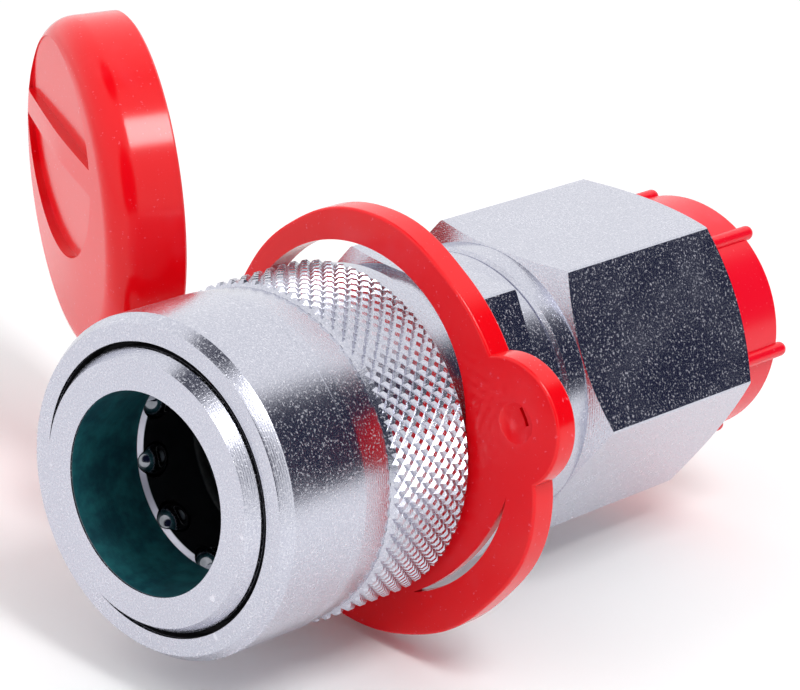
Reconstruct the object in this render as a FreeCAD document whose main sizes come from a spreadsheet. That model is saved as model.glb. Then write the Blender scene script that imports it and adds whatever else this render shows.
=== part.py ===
import FreeCAD, Part
import Sketcher
import math
import os
import re

# Hydraulic quick coupler, socket half, with its locking sleeve, valve, rear port
# and red dust cap. Millimetres. The origin is the centre of the mouth face. The
# axis runs from the mouth towards +Y, and +Z is up. An angle round the axis starts
# at +X and grows towards +Z.

SIZES = [
    # Socket body
    ("mouth_radius", 13.9),
    ("mouth_depth", 12.4),
    ("step_length", 0.6),
    ("bore_radius", 13.3),
    ("bore_depth", 33.0),
    ("face_radius", 18.07),
    ("nose_radius", 19.17),
    ("nose_cone_length", 1.85),
    ("nose_length", 4.5),
    ("barrel_radius", 17.8),
    ("barrel_length", 38.9),
    ("body_thread_radius", 16.0),
    ("body_thread_length", 11.1),
    ("throat_radius", 9.0),
    ("throat_length", 2.5),
    ("seat_radius", 12.5),
    ("seat_length", 2.5),
    ("rear_bore_radius", 13.0),
    ("seal_groove_start", 22.5),
    ("seal_groove_width", 4.0),
    ("seal_groove_radius", 15.6),
    # Locking balls
    ("ball_count", 10),
    ("ball_diameter", 5.5),
    ("ball_setback", 2.6),
    ("ball_reach", 1.2),
    ("ball_play", 0.1),
    ("ball_hole_taper", 0.31),
    ("ball_phase", 16.0),
    # Sleeve
    ("sleeve_setback", 1.93),
    ("sleeve_length", 38.17),
    ("sleeve_travel", 4.3),
    ("sleeve_mouth_radius", 20.0),
    ("sleeve_face_radius", 22.5),
    ("sleeve_chamfer_length", 1.7),
    ("front_band_radius", 24.3),
    ("front_band_length", 19.7),
    ("band_groove_width", 0.55),
    ("band_groove_depth", 0.5),
    ("knurl_radius", 24.9),
    ("knurl_length", 14.4),
    ("knurl_chamfer_length", 1.0),
    ("rear_band_radius", 23.75),
    ("sleeve_edge", 0.4),
    ("stop_gap", 0.3),
    ("land_play", 0.1),
    ("front_land_length", 2.3),
    ("relief_margin", 1.0),
    ("cone_lead", 0.2),
    ("lock_land_length", 7.0),
    ("spring_bore_radius", 20.1),
    # Sleeve spring
    ("sleeve_spring_wire", 1.7),
    ("sleeve_spring_turns", 5.0),
    ("spring_end_gap", 0.05),
    # Coupler body
    ("neck_radius", 19.7),
    ("neck_length", 9.6),
    ("hex_flats", 40.8),
    ("hex_corner_radius", 23.45),
    ("front_hex_length", 9.0),
    ("front_hex_face_radius", 20.9),
    ("front_hex_chamfer_length", 1.2),
    ("middle_radius", 19.9),
    ("middle_length", 5.1),
    ("joint_chamfer", 0.5),
    ("ledge_radius", 13.2),
    ("ledge_length", 3.2),
    ("thread_play", 0.05),
    ("thread_runout", 0.3),
    # Port adapter
    ("spigot_length", 6.5),
    ("adapter_bore_radius", 10.5),
    ("collar_radius", 20.3),
    ("collar_length", 4.0),
    ("rear_hex_length", 36.8),
    ("rear_hex_face_radius", 20.0),
    ("rear_hex_chamfer_length", 2.3),
    ("port_radius", 15.15),
    ("port_depth", 21.4),
    ("port_chamfer", 1.2),
    # Valve
    ("poppet_nose_radius", 8.4),
    ("poppet_nose_reach", 5.4),
    ("poppet_head_radius", 11.6),
    ("poppet_head_length", 2.8),
    ("poppet_stem_radius", 3.2),
    ("seat_gap", 0.3),
    ("seal_ring_inset", 0.7),
    ("seal_ring_depth", 0.7),
    ("seal_ring_length", 1.2),
    ("guide_thickness", 2.5),
    ("guide_rim_width", 2.6),
    ("guide_play", 0.2),
    ("guide_hub_radius", 6.2),
    ("guide_hub_reach", 2.0),
    ("guide_arm_width", 3.2),
    ("guide_arm_count", 3),
    ("stem_play", 0.1),
    ("stem_reach", 2.4),
    ("poppet_spring_wire", 1.2),
    ("poppet_spring_turns", 3.5),
    ("poppet_spring_radius", 4.9),
    # Seals
    ("seal_play", 0.05),
    ("mouth_ring_section", 2.5),
    ("backup_ring_length", 1.2),
    ("joint_ring_section", 1.4),
    ("joint_ring_groove_width", 2.0),
    ("joint_ring_margin", 1.2),
    # Dust cap ring
    ("ring_gap", 0.2),
    ("ring_thickness", 3.6),
    ("ring_web_thickness", 1.6),
    ("ring_long_radius", 30.4),
    ("ring_short_radius", 26.4),
    ("ring_shift_across", 2.47),
    ("ring_shift_up", 0.15),
    ("ring_turn", 50.0),
    ("ring_bead_width", 4.6),
    ("ring_edge", 1.1),
    ("ring_hole_radius", 22.6),
    ("ring_hole_across", -1.2),
    ("ring_hole_up", 2.4),
    ("lobe_radius", 8.1),
    ("lobe_across", 29.2),
    ("lobe_up", 11.0),
    ("lobe_thickness", 3.0),
    ("slot_outer_radius", 22.5),
    ("slot_outer_across", 5.5),
    ("slot_outer_up", 0.7),
    ("slot_inner_radius", 34.0),
    ("slot_inner_across", -4.56),
    ("slot_inner_up", 8.6),
    ("dimple_radius", 3.0),
    ("dimple_depth", 0.5),
    # Dust cap strap
    ("strap_width", 9.0),
    ("strap_thickness", 2.4),
    ("strap_height", -4.0),
    ("strap_clearance", 1.9),
    ("strap_root_bend", 3.0),
    ("strap_bend_radius", 5.0),
    ("strap_run", 18.0),
    ("strap_root_depth", 4.0),
    # Dust cap
    ("cap_radius", 25.6),
    ("cap_wall", 1.4),
    ("cap_depth", 12.0),
    ("cap_floor", 1.8),
    ("cap_crown", 1.2),
    ("cap_shoulder", 4.5),
    ("cap_across", -57.5),
    ("cap_along", 53.4),
    ("cap_up", 14.5),
    ("cap_azimuth", -118.3),
    ("cap_elevation", -6.8),
    ("scoop_radius", 15.3),
    ("scoop_depth", 3.0),
    ("scoop_up", 5.0),
    ("scoop_turn", 8.0),
    ("grip_bar_width", 3.6),
    # Port plug
    ("plug_play", 0.2),
    ("plug_shank_length", 13.4),
    ("plug_head_radius", 18.0),
    ("plug_head_length", 12.0),
    ("plug_edge", 0.9),
    ("plug_wall", 1.8),
    ("plug_rib_radius", 1.1),
    ("plug_rib_count", 6),
]

# Places that follow from the sizes, as distances along the axis or radii.
PLACES = {
    "body_end": "barrel_length + body_thread_length",
    "step_end": "mouth_depth + step_length",
    "ball_plane": "mouth_depth + ball_setback",
    "ball_circle_radius": "bore_radius - ball_reach + ball_diameter / 2",
    "ball_hole_radius": "ball_diameter / 2 + ball_play",
    "seal_groove_end": "seal_groove_start + seal_groove_width",
    "seat_start": "bore_depth + throat_length",
    "seat_end": "seat_start + seat_length",
    "sleeve_end": "sleeve_setback + sleeve_length",
    "front_band_end": "sleeve_setback + front_band_length",
    "knurl_start": "front_band_end + band_groove_width",
    "knurl_end": "knurl_start + knurl_length",
    "land_radius": "barrel_radius + land_play",
    "front_land_start": "nose_length + stop_gap",
    "relief_start": "front_land_start + front_land_length",
    "relief_end": "ball_plane - sleeve_travel - relief_margin",
    "cone_end": "ball_plane + cone_lead",
    "relief_radius": "land_radius + ball_reach / sleeve_travel * (cone_end - relief_end)",
    "spring_seat": "ball_plane + lock_land_length",
    "sleeve_spring_radius": "(barrel_radius + spring_bore_radius) / 2",
    "hex_start": "barrel_length + neck_length",
    "hex_end": "hex_start + front_hex_length",
    "joint_plane": "hex_end + middle_length",
    "body_thread_bore": "body_thread_radius + thread_play",
    "ledge_start": "body_end + thread_runout",
    "ledge_end": "ledge_start + ledge_length",
    "spigot_radius": "body_thread_radius - thread_play",
    "spigot_start": "joint_plane - spigot_length",
    "collar_end": "joint_plane + collar_length",
    "adapter_end": "collar_end + rear_hex_length",
    "port_floor": "adapter_end - port_depth",
    "seat_slope": "(seat_radius - throat_radius) / seat_length",
    "poppet_tip": "seat_start - poppet_nose_reach",
    "poppet_cone_start": "seat_start + seat_gap + (poppet_nose_radius - throat_radius) / seat_slope",
    "poppet_cone_end": "seat_start + seat_gap + (poppet_head_radius - throat_radius) / seat_slope",
    "poppet_head_end": "poppet_cone_end + poppet_head_length",
    "seal_ring_start": "poppet_cone_start + seal_ring_inset",
    "seal_ring_end": "seal_ring_start + seal_ring_length",
    "seal_ring_front_radius": "poppet_nose_radius + seal_ring_inset * seat_slope",
    "seal_ring_rear_radius": "seal_ring_front_radius + seal_ring_length * seat_slope",
    "seal_ring_inner_radius": "seal_ring_front_radius - seal_ring_depth",
    "guide_start": "ledge_end",
    "guide_end": "guide_start + guide_thickness",
    "guide_hub_start": "guide_start - guide_hub_reach",
    "guide_rim_radius": "body_thread_radius - guide_play",
    "poppet_end": "guide_end + stem_reach",
    "body_ring_end": "body_end - joint_ring_margin",
    "body_ring_start": "body_ring_end - joint_ring_groove_width",
    "adapter_ring_start": "spigot_start + joint_ring_margin",
    "adapter_ring_end": "adapter_ring_start + joint_ring_groove_width",
    "joint_ring_radius": "body_thread_radius - joint_ring_section / 2",
    "joint_groove_radius": "body_thread_radius - joint_ring_section - seal_play",
    "ring_front": "sleeve_end + ring_gap",
    "plug_shank_radius": "port_radius - plug_play",
    "plug_tip": "adapter_end - plug_shank_length",
    "plug_end": "adapter_end + plug_head_length",
    "plug_cup_radius": "plug_shank_radius - plug_wall",
}

doc = FreeCAD.newDocument("quick_coupler")
sheet = doc.addObject("Spreadsheet::Sheet", "Sizes")
for row, (alias, number) in enumerate(SIZES, start=1):
    sheet.set(f"A{row}", alias)
    sheet.set(f"B{row}", str(number))
    sheet.setAlias(f"B{row}", alias)
doc.recompute()

WORD = re.compile(r"[a-z]+(?:_[a-z]+)+")
ACROSS = FreeCAD.Vector(1, 0, 0)
ALONG = FreeCAD.Vector(0, 1, 0)
UP = FreeCAD.Vector(0, 0, 1)


def formula(text):
    """Writes a formula of size and place names as an expression of the sheet's cells."""
    def spell(match):
        word = match.group(0)
        if word in PLACES:
            return "(" + formula(PLACES[word]) + ")"
        return "Sizes." + word
    return WORD.sub(spell, str(text))


def number(text):
    """The present value of such a formula."""
    return float(sheet.evalExpression(formula(text)))


def origin_plane(body, role):
    for feature in body.Origin.OriginFeatures:
        if feature.Role == role:
            return feature


def turned(name, outline):
    """A solid turned about the axis from a closed outline of (along, radius) corners."""
    body = doc.addObject("PartDesign::Body", name)
    sketch = body.newObject("Sketcher::SketchObject", name + "_outline")
    sketch.AttachmentSupport = [(origin_plane(body, "XY_Plane"), "")]
    sketch.MapMode = "FlatFace"
    corners = [FreeCAD.Vector(number(radius), number(along), 0) for along, radius in outline]
    count = len(corners)
    for i in range(count):
        sketch.addGeometry(Part.LineSegment(corners[i], corners[(i + 1) % count]))
    for i in range(count):
        sketch.addConstraint(Sketcher.Constraint("Coincident", i, 2, (i + 1) % count, 1))
    for i, (along, radius) in enumerate(outline):
        place_corner(sketch, "DistanceX", -2, i, radius, corners[i].x)
        place_corner(sketch, "DistanceY", -1, i, along, corners[i].y)
    turn = body.newObject("PartDesign::Revolution", name + "_turned")
    turn.Profile = sketch
    turn.ReferenceAxis = (sketch, ["V_Axis"])
    turn.Angle = 360
    return body


def place_corner(sketch, kind, axis, line, text, value):
    """Ties one coordinate of a corner to its formula, or to the axis where it is zero."""
    if str(text) == "0":
        sketch.addConstraint(Sketcher.Constraint("PointOnObject", line, 1, axis))
        return
    index = sketch.addConstraint(Sketcher.Constraint(kind, -1, 1, line, 1, value))
    sketch.setExpression(f"Constraints[{index}]", formula(text))


def cut_hexagon(body, name, start, length):
    """Mills six flats into a turned blank. Two corners lie level, at +X and -X."""
    sketch = body.newObject("Sketcher::SketchObject", name + "_hexagon")
    sketch.AttachmentSupport = [(origin_plane(body, "XZ_Plane"), "")]
    sketch.MapMode = "FlatFace"
    sketch.setExpression("AttachmentOffset.Base.z", formula(f"-({start})"))
    radius = number("hex_flats / sqrt(3)")
    corners = [FreeCAD.Vector(radius, 0, 0)]
    for i in range(1, 6):
        corners.append(FreeCAD.Rotation(UP, 60 * i).multVec(corners[0]))
    for i in range(6):
        sketch.addGeometry(Part.LineSegment(corners[i], corners[(i + 1) % 6]))
    middle = FreeCAD.Vector(0, 0, 0)
    sketch.addGeometry(Part.Circle(middle, UP, radius), True)
    sketch.addGeometry(Part.Circle(middle, UP, 2 * radius))
    for i in range(6):
        sketch.addConstraint(Sketcher.Constraint("Coincident", i, 2, (i + 1) % 6, 1))
        sketch.addConstraint(Sketcher.Constraint("PointOnObject", i, 1, 6))
    for i in range(1, 6):
        sketch.addConstraint(Sketcher.Constraint("Equal", 0, i))
    sketch.addConstraint(Sketcher.Constraint("PointOnObject", 0, 1, -1))
    for circle, size in ((6, "hex_flats / sqrt(3)"), (7, "hex_flats")):
        sketch.addConstraint(Sketcher.Constraint("Coincident", circle, 3, -1, 1))
        index = sketch.addConstraint(Sketcher.Constraint("Radius", circle, number(size)))
        sketch.setExpression(f"Constraints[{index}]", formula(size))
    flats = body.newObject("PartDesign::Pocket", name + "_flats")
    flats.Profile = sketch
    flats.setExpression("Length", formula(length))
    return flats


def on_axis(item, along):
    """Stands a primitive's own axis along the coupler's axis, starting at a distance."""
    item.Placement = FreeCAD.Placement(FreeCAD.Vector(), FreeCAD.Rotation(ACROSS, -90))
    item.setExpression("Placement.Base.y", formula(along))
    return item


def cylinder(name, along, radius, length, across="0", up="0"):
    item = on_axis(doc.addObject("Part::Cylinder", name), along)
    item.setExpression("Radius", formula(radius))
    item.setExpression("Height", formula(length))
    item.setExpression("Placement.Base.x", formula(across))
    item.setExpression("Placement.Base.z", formula(up))
    return item


def o_ring(name, along, mean_radius, section):
    item = on_axis(doc.addObject("Part::Torus", name), along)
    item.setExpression("Radius1", formula(mean_radius))
    item.setExpression("Radius2", formula(f"({section}) / 2"))
    return item


def spring(name, start, end, radius, wire, turns):
    """An open coil of round wire between two seats."""
    gap = "spring_end_gap"
    path = doc.addObject("Part::Helix", name + "_path")
    path.setExpression("Radius", formula(radius))
    path.setExpression("Height", formula(f"{end} - ({start}) - {wire} - 2 * {gap}"))
    path.setExpression("Pitch", formula(f"({end} - ({start}) - {wire} - 2 * {gap}) / {turns}"))
    section = doc.addObject("Part::Circle", name + "_wire")
    section.Placement = FreeCAD.Placement(FreeCAD.Vector(), FreeCAD.Rotation(ACROSS, 90))
    section.setExpression("Radius", formula(f"{wire} / 2"))
    section.setExpression("Placement.Base.x", formula(radius))
    coil = doc.addObject("Part::Sweep", name)
    coil.Sections = [section]
    coil.Spine = path
    coil.Solid = True
    coil.Frenet = True
    return on_axis(coil, f"{start} + {wire} / 2 + {gap}")


def joined(name, pieces):
    item = doc.addObject("Part::MultiFuse", name)
    item.Shapes = pieces
    return item


def cut(name, base, tool):
    item = doc.addObject("Part::Cut", name)
    item.Base = base
    item.Tool = tool
    return item


# Socket body: a turned barrel with a collar at the mouth and a male thread behind.
# Its bore steps down to the coupling bore, a seal groove and the valve's seat.
socket_blank = turned("socket_blank", [
    ("0", "mouth_radius"),
    ("0", "face_radius"),
    ("nose_cone_length", "nose_radius"),
    ("nose_length", "nose_radius"),
    ("nose_length", "barrel_radius"),
    ("barrel_length", "barrel_radius"),
    ("barrel_length", "body_thread_radius"),
    ("body_ring_start", "body_thread_radius"),
    ("body_ring_start", "joint_groove_radius"),
    ("body_ring_end", "joint_groove_radius"),
    ("body_ring_end", "body_thread_radius"),
    ("body_end", "body_thread_radius"),
    ("body_end", "rear_bore_radius"),
    ("seat_end", "rear_bore_radius"),
    ("seat_end", "seat_radius"),
    ("seat_start", "throat_radius"),
    ("bore_depth", "throat_radius"),
    ("bore_depth", "bore_radius"),
    ("seal_groove_end", "bore_radius"),
    ("seal_groove_end", "seal_groove_radius"),
    ("seal_groove_start", "seal_groove_radius"),
    ("seal_groove_start", "bore_radius"),
    ("step_end", "bore_radius"),
    ("mouth_depth", "mouth_radius"),
])

# Ball holes: each narrows towards the bore, so that a ball can't fall through.
BALLS = range(1, int(number("ball_count")) + 1)


def round_the_axis(item, angle, radius, along):
    """Moves an item out from the axis, and turns its own X axis to point outwards."""
    item.Placement = FreeCAD.Placement(FreeCAD.Vector(), FreeCAD.Rotation(-ALONG, 0))
    item.Placement.Rotation.Axis = -ALONG
    item.setExpression("Placement.Base.x", formula(f"({radius}) * cos({angle})"))
    item.setExpression("Placement.Base.y", formula(along))
    item.setExpression("Placement.Base.z", formula(f"({radius}) * sin({angle})"))
    return item


def ball_angle(i):
    return f"(ball_phase + {i - 1} * 360 / ball_count) * 1 deg"


def ball_hole(i):
    """Reads its sizes from the sheet: a cylinder outwards from the ball and a taper inwards."""
    wide = number("ball_hole_radius")
    centre = number("ball_circle_radius")
    reach = number("barrel_radius + 1") - centre
    depth = number("ball_diameter / 2 - ball_reach + 1")
    narrow = wide - number("ball_hole_taper") * depth / number("ball_circle_radius - bore_radius")
    angle = math.radians(number("ball_phase") + (i - 1) * 360 / number("ball_count"))
    outward = FreeCAD.Vector(math.cos(angle), 0, math.sin(angle))
    middle = outward * centre + ALONG * number("ball_plane")
    straight = Part.makeCylinder(wide, reach, middle, outward)
    taper = Part.makeCone(wide, narrow, depth, middle, -outward)
    return straight.fuse(taper)


ball_holes = doc.addObject("Part::Feature", "ball_holes")
ball_holes.Shape = Part.makeCompound([ball_hole(i) for i in BALLS])
socket_body = cut("socket_body", socket_blank, ball_holes)


def locking_ball(i):
    ball = doc.addObject("Part::Sphere", f"locking_ball_{i:02d}")
    ball.setExpression("Radius", formula("ball_diameter / 2"))
    ball.setExpression("Placement.Base.x", formula("ball_circle_radius * cos(" + ball_angle(i) + ")"))
    ball.setExpression("Placement.Base.y", formula("ball_plane"))
    ball.setExpression("Placement.Base.z", formula("ball_circle_radius * sin(" + ball_angle(i) + ")"))
    return ball


locking_balls = [locking_ball(i) for i in BALLS]

# Sleeve: it locks the balls in with its long land. Pulled back, its relief groove
# comes over them, and the cone between the two lets them out as it goes.
sleeve = turned("sleeve", [
    ("sleeve_setback", "sleeve_mouth_radius"),
    ("sleeve_setback", "sleeve_face_radius"),
    ("sleeve_setback + sleeve_chamfer_length", "front_band_radius"),
    ("front_band_end", "front_band_radius"),
    ("front_band_end", "front_band_radius - band_groove_depth"),
    ("knurl_start", "front_band_radius - band_groove_depth"),
    ("knurl_start", "knurl_radius"),
    ("knurl_end", "knurl_radius"),
    ("knurl_end + knurl_chamfer_length", "rear_band_radius"),
    ("sleeve_end - sleeve_edge", "rear_band_radius"),
    ("sleeve_end", "rear_band_radius - sleeve_edge"),
    ("sleeve_end", "spring_bore_radius"),
    ("spring_seat", "spring_bore_radius"),
    ("spring_seat", "land_radius"),
    ("cone_end", "land_radius"),
    ("relief_end", "relief_radius"),
    ("relief_start", "relief_radius"),
    ("relief_start", "land_radius"),
    ("front_land_start", "land_radius"),
    ("front_land_start", "sleeve_mouth_radius"),
])
sleeve_spring = spring("sleeve_spring", "spring_seat", "barrel_length", "sleeve_spring_radius",
                       "sleeve_spring_wire", "sleeve_spring_turns")

# Coupler body: it screws onto the socket body, stops the spring, and has a ledge
# for the valve guide and a counterbore for the port adapter.
coupler_body = turned("coupler_body", [
    ("barrel_length", "body_thread_bore"),
    ("barrel_length", "neck_radius"),
    ("hex_start", "neck_radius"),
    ("hex_start", "front_hex_face_radius"),
    ("hex_start + front_hex_chamfer_length", "hex_corner_radius"),
    ("hex_end", "hex_corner_radius"),
    ("hex_end", "middle_radius"),
    ("joint_plane - joint_chamfer", "middle_radius"),
    ("joint_plane", "middle_radius - joint_chamfer"),
    ("joint_plane", "body_thread_radius"),
    ("ledge_end", "body_thread_radius"),
    ("ledge_end", "ledge_radius"),
    ("ledge_start", "ledge_radius"),
    ("ledge_start", "body_thread_bore"),
])
coupler_body.Tip = cut_hexagon(coupler_body, "coupler_body", "hex_start", "front_hex_length")

# Port adapter: a spigot, a round collar and a long hexagon round the rear port.
port_adapter = turned("port_adapter", [
    ("spigot_start", "adapter_bore_radius"),
    ("spigot_start", "spigot_radius"),
    ("adapter_ring_start", "spigot_radius"),
    ("adapter_ring_start", "joint_groove_radius"),
    ("adapter_ring_end", "joint_groove_radius"),
    ("adapter_ring_end", "spigot_radius"),
    ("joint_plane", "spigot_radius"),
    ("joint_plane", "collar_radius - joint_chamfer"),
    ("joint_plane + joint_chamfer", "collar_radius"),
    ("collar_end", "collar_radius"),
    ("collar_end + rear_hex_chamfer_length * (collar_radius - rear_hex_face_radius)"
     " / (hex_corner_radius - rear_hex_face_radius)", "collar_radius"),
    ("collar_end + rear_hex_chamfer_length", "hex_corner_radius"),
    ("adapter_end - rear_hex_chamfer_length", "hex_corner_radius"),
    ("adapter_end", "rear_hex_face_radius"),
    ("adapter_end", "port_radius + port_chamfer"),
    ("adapter_end - port_chamfer", "port_radius"),
    ("port_floor", "port_radius"),
    ("port_floor", "adapter_bore_radius"),
])
port_adapter.Tip = cut_hexagon(port_adapter, "port_adapter", "collar_end", "rear_hex_length")

# Valve: a poppet with a conical head, its seal ring, the guide that its stem slides
# in, and the spring between the two.
poppet = turned("poppet", [
    ("poppet_tip", "0"),
    ("poppet_tip", "poppet_nose_radius - 1"),
    ("poppet_tip + 1", "poppet_nose_radius"),
    ("poppet_cone_start", "poppet_nose_radius"),
    ("seal_ring_start", "seal_ring_front_radius"),
    ("seal_ring_start", "seal_ring_inner_radius"),
    ("seal_ring_end", "seal_ring_inner_radius"),
    ("seal_ring_end", "seal_ring_rear_radius"),
    ("poppet_cone_end", "poppet_head_radius"),
    ("poppet_head_end", "poppet_head_radius"),
    ("poppet_head_end", "poppet_stem_radius"),
    ("poppet_end", "poppet_stem_radius"),
    ("poppet_end", "0"),
])
poppet_seal = turned("poppet_seal", [
    ("seal_ring_start", "seal_ring_inner_radius"),
    ("seal_ring_start", "seal_ring_front_radius"),
    ("seal_ring_end", "seal_ring_rear_radius"),
    ("seal_ring_end", "seal_ring_inner_radius"),
])
guide_rim = turned("guide_rim", [
    ("guide_start", "guide_rim_radius - guide_rim_width"),
    ("guide_start", "guide_rim_radius"),
    ("guide_end", "guide_rim_radius"),
    ("guide_end", "guide_rim_radius - guide_rim_width"),
])
guide_hub = cylinder("guide_hub", "guide_hub_start", "guide_hub_radius",
                     "guide_end - guide_hub_start")
guide_bore = cylinder("guide_bore", "guide_hub_start - 1", "poppet_stem_radius + stem_play",
                      "guide_end - guide_hub_start + 2")


def guide_arm(i):
    """A bar from the hub to the middle of the rim."""
    arm = doc.addObject("Part::Box", f"guide_arm_{i}")
    arm.setExpression("Length", formula("guide_rim_radius - guide_rim_width / 2"))
    arm.setExpression("Width", formula("guide_thickness"))
    arm.setExpression("Height", formula("guide_arm_width"))
    angle = 90 + i * 360 / number("guide_arm_count")
    turn = FreeCAD.Rotation(-ALONG, angle)
    side = turn.multVec(FreeCAD.Vector(0, 0, -number("guide_arm_width") / 2))
    arm.Placement = FreeCAD.Placement(side, turn)
    arm.setExpression("Placement.Base.y", formula("guide_start"))
    return arm


guide_arms = [guide_arm(i) for i in range(int(number("guide_arm_count")))]
valve_guide = cut("valve_guide", joined("guide_solid", [guide_rim, guide_hub] + guide_arms),
                  guide_bore)
poppet_spring = spring("poppet_spring", "poppet_head_end", "guide_hub_start",
                       "poppet_spring_radius", "poppet_spring_wire", "poppet_spring_turns")

# Seals: one with its backup ring in the coupling bore, and one at each screwed joint.
mouth_ring_along = "seal_groove_start + seal_play + mouth_ring_section / 2"
interface_o_ring = o_ring("interface_o_ring", mouth_ring_along,
                          "seal_groove_radius - seal_play - mouth_ring_section / 2",
                          "mouth_ring_section")
interface_backup_ring = turned("interface_backup_ring", [
    ("seal_groove_end - seal_play - backup_ring_length", "bore_radius + seal_play"),
    ("seal_groove_end - seal_play - backup_ring_length", "seal_groove_radius - seal_play"),
    ("seal_groove_end - seal_play", "seal_groove_radius - seal_play"),
    ("seal_groove_end - seal_play", "bore_radius + seal_play"),
])
body_o_ring = o_ring("body_o_ring", "(body_ring_start + body_ring_end) / 2",
                     "joint_ring_radius", "joint_ring_section")
adapter_o_ring = o_ring("adapter_o_ring", "(adapter_ring_start + adapter_ring_end) / 2",
                        "joint_ring_radius", "joint_ring_section")

# Port plug: a hollow push fit plug with a ribbed head.
plug_cup = turned("plug_cup", [
    ("plug_tip", "0"),
    ("plug_tip", "plug_shank_radius - plug_edge"),
    ("plug_tip + plug_edge", "plug_shank_radius"),
    ("adapter_end", "plug_shank_radius"),
    ("adapter_end", "plug_head_radius"),
    ("plug_end - plug_edge", "plug_head_radius"),
    ("plug_end", "plug_head_radius - plug_edge"),
    ("plug_end", "plug_cup_radius"),
    ("plug_tip + plug_wall", "plug_cup_radius"),
    ("plug_tip + plug_wall", "0"),
])


def plug_rib(i):
    """A round bar sunk to its middle in the head, with a round end behind."""
    angle = f"({i} * 360 / plug_rib_count) * 1 deg"
    across = f"plug_head_radius * cos({angle})"
    up = f"plug_head_radius * sin({angle})"
    bar = cylinder(f"plug_rib_{i}", "adapter_end", "plug_rib_radius", "plug_head_length",
                   across, up)
    knob = doc.addObject("Part::Sphere", f"plug_knob_{i}")
    knob.setExpression("Radius", formula("plug_rib_radius"))
    knob.setExpression("Placement.Base.x", formula(across))
    knob.setExpression("Placement.Base.y", formula("plug_end"))
    knob.setExpression("Placement.Base.z", formula(up))
    return [bar, knob]


plug_ribs = [piece for i in range(int(number("plug_rib_count"))) for piece in plug_rib(i)]
port_plug = joined("port_plug", [plug_cup] + plug_ribs)


# Dust cap: one moulding. An oval ring with a thick bead lies loosely round the neck
# behind the sleeve, a strap doubles back from it, and the cap hangs at its end.
def oval(name, inset, thickness):
    """An upright slab with the ring's outline, drawn in by an inset."""
    outline = doc.addObject("Part::Ellipse", name + "_outline")
    outline.setExpression("MajorRadius", formula(f"ring_long_radius - ({inset})"))
    outline.setExpression("MinorRadius", formula(f"ring_short_radius - ({inset})"))
    facing = FreeCAD.Rotation(ACROSS, -90)
    outline.Placement = FreeCAD.Placement(
        FreeCAD.Vector(), facing.multiply(FreeCAD.Rotation(UP, number("ring_turn"))))
    outline.setExpression("Placement.Base.x", formula("ring_shift_across"))
    outline.setExpression("Placement.Base.y", formula("ring_front"))
    outline.setExpression("Placement.Base.z", formula("ring_shift_up"))
    slab = doc.addObject("Part::Extrusion", name)
    slab.Base = outline
    slab.DirMode = "Custom"
    slab.Dir = ALONG
    slab.Solid = True
    slab.setExpression("LengthFwd", formula(thickness))
    return slab


def rounded(name, base, picked, radius):
    """Rounds the edges of a solid that a test picks."""
    doc.recompute()
    item = doc.addObject("Part::Fillet", name)
    item.Base = base
    size = number(radius)
    item.Edges = [(i, size, size) for i, edge in enumerate(base.Shape.Edges, start=1)
                  if picked(edge)]
    return item


def is_ellipse(edge):
    return isinstance(edge.Curve, Part.Ellipse)


ring_slab = rounded("ring_rounded", oval("ring_slab", "0", "ring_thickness"), is_ellipse,
                    "ring_edge")
ring_lobe = cylinder("ring_lobe", "ring_front", "lobe_radius", "lobe_thickness",
                     "lobe_across", "lobe_up")
bead_inside = oval("bead_inside", "ring_bead_width", "ring_thickness")
bead_inside.setExpression("LengthRev", formula("-ring_web_thickness"))
ring_hole = cylinder("ring_hole", "ring_front - 1", "ring_hole_radius", "ring_thickness + 2",
                     "ring_hole_across", "ring_hole_up")
slot_outer = cylinder("slot_outer", "ring_front - 1", "slot_outer_radius", "ring_thickness + 2",
                      "slot_outer_across", "slot_outer_up")
slot_inner = cylinder("slot_inner", "ring_front - 2", "slot_inner_radius", "ring_thickness + 4",
                      "slot_inner_across", "slot_inner_up")
ring_slot = cut("ring_slot", slot_outer, slot_inner)


def strap_shape():
    """A ribbon with round edges, swept along a run forwards, a U bend and a run back."""
    bend = number("strap_bend_radius")
    root = number("strap_root_bend")
    half = number("strap_thickness") / 2
    level = number("strap_height")
    inner = -number("knurl_radius + strap_clearance") - half
    outer = inner - 2 * bend
    middle = number("ring_front + ring_thickness / 2")
    turn = middle - root - number("strap_run")
    start = FreeCAD.Vector(inner + root + number("strap_root_depth"), middle, level)
    corner = FreeCAD.Vector(inner + root, middle, level)
    knee = FreeCAD.Vector(inner, middle - root, level)
    slant = root * (1 - math.sqrt(0.5))
    bow = FreeCAD.Vector(inner + slant, middle - slant, level)
    turn_in = FreeCAD.Vector(inner, turn, level)
    turn_far = FreeCAD.Vector(inner - bend, turn - bend, level)
    turn_out = FreeCAD.Vector(outer, turn, level)
    path = Part.Wire([
        Part.LineSegment(start, corner).toShape(),
        Part.Arc(corner, bow, knee).toShape(),
        Part.LineSegment(knee, turn_in).toShape(),
        Part.Arc(turn_in, turn_far, turn_out).toShape(),
        Part.LineSegment(turn_out, strap_landing(turn_out)).toShape(),
    ])
    reach = number("strap_width") / 2 - half
    top, bottom = UP * reach, -UP * reach
    side = ALONG * half
    section = Part.Wire([
        Part.LineSegment(start + top - side, start + bottom - side).toShape(),
        Part.Arc(start + bottom - side, start + bottom - UP * half, start + bottom + side).toShape(),
        Part.LineSegment(start + bottom + side, start + top + side).toShape(),
        Part.Arc(start + top + side, start + top + UP * half, start + top - side).toShape(),
    ])
    return path.makePipeShell([section], True, False)


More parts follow.
